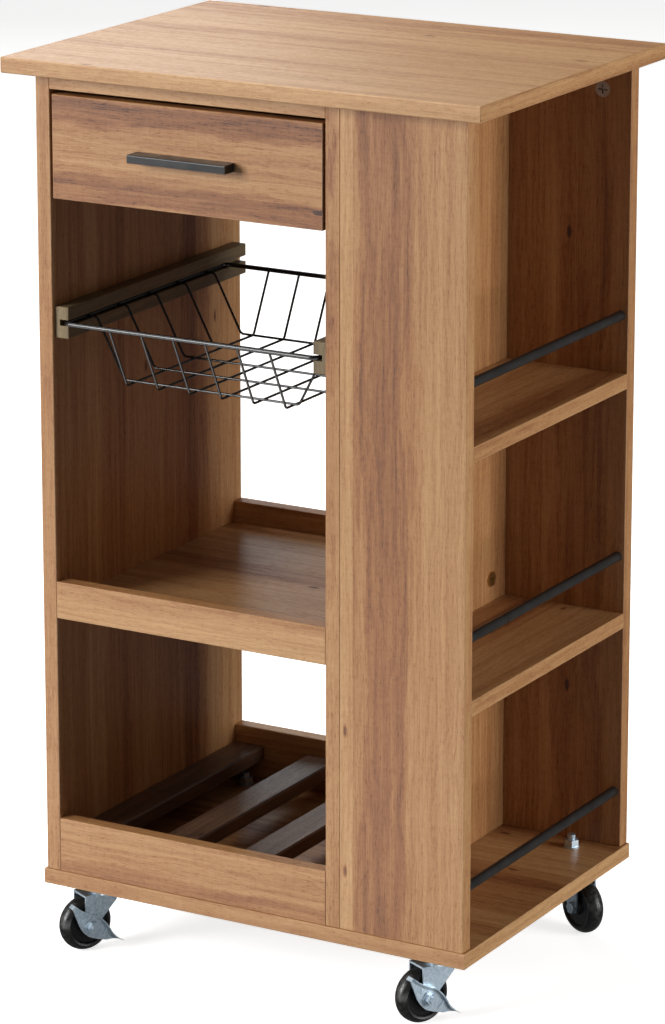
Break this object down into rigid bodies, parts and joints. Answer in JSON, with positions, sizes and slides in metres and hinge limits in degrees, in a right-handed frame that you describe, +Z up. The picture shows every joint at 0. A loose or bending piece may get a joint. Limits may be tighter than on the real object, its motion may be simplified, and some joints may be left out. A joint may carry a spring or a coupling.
{
  "type": "kitchen trolley",
  "caption": "Upright wood-look trolley on swivel casters with a drawer, a sliding wire basket, a middle shelf, a slatted bottle rack and open side shelves with rails.",
  "frame": {"origin": "on the floor under the middle of the worktop", "axes": "+Z up, -Y towards the face with the drawer, +X towards the open side shelves"},
  "size_m": [0.5, 0.37, 0.8725],
  "materials": {
    "oak_print_board": "satin",
    "dark_slat_board": "satin",
    "stained_runner_wood": "satin",
    "plain_beech": "matte",
    "drawer_box_board": "matte",
    "black_painted_steel": "satin",
    "black_coated_wire": "gloss",
    "cast_zinc": "satin",
    "zinc_plated_steel": "satin",
    "yellow_zinc": "satin",
    "black_moulded_wheel": "satin"
  },
  "bodies": {
    "cart": {"top_board": "oak_print_board", "base_board": "oak_print_board", "left_side_panel": "oak_print_board", "centre_partition": "oak_print_board", "front_right_panel": "oak_print_board", "rear_right_panel": "oak_print_board", "top_front_rail": "oak_print_board", "top_rear_rail": "oak_print_board", "middle_shelf": "oak_print_board", "middle_front_rail": "oak_print_board", "middle_rear_rail": "oak_print_board", "bottom_front_rail": "oak_print_board", "bottom_rear_rail": "oak_print_board", "side_shelf_upper": "oak_print_board", "side_shelf_lower": "oak_print_board", "bottle_slat_1": "dark_slat_board", "bottle_slat_2": "dark_slat_board", "bottle_slat_3": "dark_slat_board", "bottle_slat_4": "dark_slat_board", "basket_runner_left": "stained_runner_wood", "basket_runner_right": "stained_runner_wood", "drawer_guide_left": "plain_beech", "drawer_guide_right": "plain_beech", "wood_dowels": "plain_beech", "slat_pegs": "plain_beech", "gallery_bar_upper": "black_painted_steel", "gallery_bar_middle": "black_painted_steel", "gallery_bar_lower": "black_painted_steel", "cam_locks": "cast_zinc", "cam_bolts": "zinc_plated_steel", "base_screws": "zinc_plated_steel", "wood_screws": "zinc_plated_steel", "caster_nuts": "zinc_plated_steel", "caster_stems": "zinc_plated_steel", "shelf_bolts": "yellow_zinc"},
    "drawer": {"drawer_front": "oak_print_board", "drawer_side_left": "drawer_box_board", "drawer_side_right": "drawer_box_board", "drawer_back": "drawer_box_board", "drawer_bottom": "drawer_box_board", "drawer_handle": "black_painted_steel", "handle_screws": "zinc_plated_steel", "drawer_dowels": "plain_beech"},
    "basket": {"basket_rim": "black_coated_wire", "basket_cross_wires": "black_coated_wire", "basket_long_wires": "black_coated_wire"},
    "front_left_fork": {"caster_fl_fork": "zinc_plated_steel", "caster_fl_axle": "zinc_plated_steel"},
    "front_left_wheel": {"caster_fl_wheel": "black_moulded_wheel"},
    "front_left_brake": {"caster_fl_brake_lever": "zinc_plated_steel"},
    "front_right_fork": {"caster_fr_fork": "zinc_plated_steel", "caster_fr_axle": "zinc_plated_steel"},
    "front_right_wheel": {"caster_fr_wheel": "black_moulded_wheel"},
    "front_right_brake": {"caster_fr_brake_lever": "zinc_plated_steel"},
    "rear_left_fork": {"caster_rl_fork": "zinc_plated_steel", "caster_rl_axle": "zinc_plated_steel"},
    "rear_left_wheel": {"caster_rl_wheel": "black_moulded_wheel"},
    "rear_right_fork": {"caster_rr_fork": "zinc_plated_steel", "caster_rr_axle": "zinc_plated_steel"},
    "rear_right_wheel": {"caster_rr_wheel": "black_moulded_wheel"}
  },
  "joints": [
    {"name": "drawer_slide", "type": "slide", "parent": "cart", "child": "drawer", "axis": [0, -1, 0], "range_m": [0, 0.24]},
    {"name": "basket_slide", "type": "slide", "parent": "cart", "child": "basket", "axis": [0, -1, 0], "range_m": [0, 0.24]},
    {"name": "front_left_swivel", "type": "hinge", "parent": "cart", "child": "front_left_fork", "pos_m": [-0.1845, -0.1305, 0.057], "axis": [0, 0, 1], "continuous": true},
    {"name": "front_left_roll", "type": "hinge", "parent": "front_left_fork", "child": "front_left_wheel", "pos_m": [-0.19373, -0.14824, 0.027], "axis": [0.887, -0.4617, 0], "continuous": true},
    {"name": "front_left_brake_press", "type": "hinge", "parent": "front_left_fork", "child": "front_left_brake", "pos_m": [-0.1822, -0.15424, 0.027], "axis": [0.887, -0.4617, 0], "range_deg": [0, 25]},
    {"name": "front_right_swivel", "type": "hinge", "parent": "cart", "child": "front_right_fork", "pos_m": [0.1845, -0.1305, 0.057], "axis": [0, 0, 1], "continuous": true},
    {"name": "front_right_roll", "type": "hinge", "parent": "front_right_fork", "child": "front_right_wheel", "pos_m": [0.17527, -0.14824, 0.027], "axis": [0.887, -0.4617, 0], "continuous": true},
    {"name": "front_right_brake_press", "type": "hinge", "parent": "front_right_fork", "child": "front_right_brake", "pos_m": [0.1868, -0.15424, 0.027], "axis": [0.887, -0.4617, 0], "range_deg": [0, 25]},
    {"name": "rear_left_swivel", "type": "hinge", "parent": "cart", "child": "rear_left_fork", "pos_m": [-0.1845, 0.1395, 0.057], "axis": [0, 0, 1], "continuous": true},
    {"name": "rear_left_roll", "type": "hinge", "parent": "rear_left_fork", "child": "rear_left_wheel", "pos_m": [-0.16676, 0.13026, 0.027], "axis": [0.4617, 0.887, 0], "continuous": true},
    {"name": "rear_right_swivel", "type": "hinge", "parent": "cart", "child": "rear_right_fork", "pos_m": [0.1845, 0.1395, 0.057], "axis": [0, 0, 1], "continuous": true},
    {"name": "rear_right_roll", "type": "hinge", "parent": "rear_right_fork", "child": "rear_right_wheel", "pos_m": [0.20224, 0.13026, 0.027], "axis": [0.4617, 0.887, 0], "continuous": true}
  ]
}
